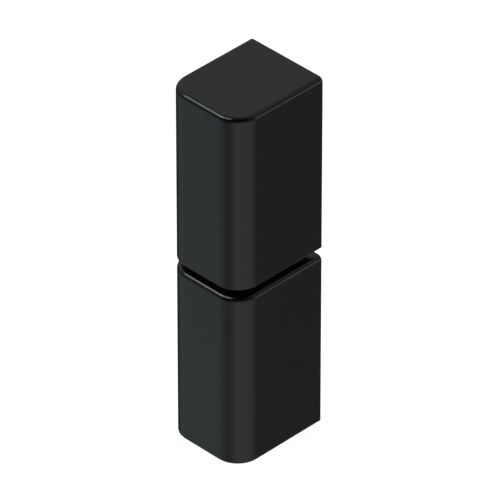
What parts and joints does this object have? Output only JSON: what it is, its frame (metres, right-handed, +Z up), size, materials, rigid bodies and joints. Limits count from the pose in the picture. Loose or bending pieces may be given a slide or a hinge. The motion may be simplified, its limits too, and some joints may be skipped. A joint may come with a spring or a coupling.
{
  "type": "door hinge",
  "caption": "Black block door hinge: stacked frame and door halves turn on a concealed pin, each screwed on from behind through threaded inserts.",
  "frame": {"origin": "centre of the frame half's mounting face, midway between its threaded inserts", "axes": "+Z up along the hinge pin, from the frame half to the door half; +Y out of the mounting face, into the frame it is screwed to; +X to the right as seen from the outer, rounded side"},
  "size_m": [0.017, 0.02, 0.0707],
  "materials": {
    "powder_coat": "satin",
    "stainless": "satin",
    "acetal": "satin",
    "black_steel": "satin",
    "plug_plastic": "matte",
    "insert_brass": "satin"
  },
  "bodies": {
    "frame_half": {"frame_housing": "powder_coat", "hinge_pin": "stainless", "thrust_washer": "black_steel", "pin_lock_screw": "black_steel", "pin_bore_plug": "plug_plastic", "frame_insert_lower": "insert_brass", "frame_insert_upper": "insert_brass"},
    "door_half": {"door_housing": "powder_coat", "door_bush_lower": "acetal", "door_bush_upper": "acetal", "pin_keeper_screw": "black_steel", "door_insert_lower": "insert_brass", "door_insert_upper": "insert_brass"}
  },
  "joints": [
    {"name": "door_swing", "type": "hinge", "parent": "frame_half", "child": "door_half", "pos_m": [0, -0.0115, 0.01825], "axis": [0, 0, 1], "range_deg": [-180, 180]}
  ]
}
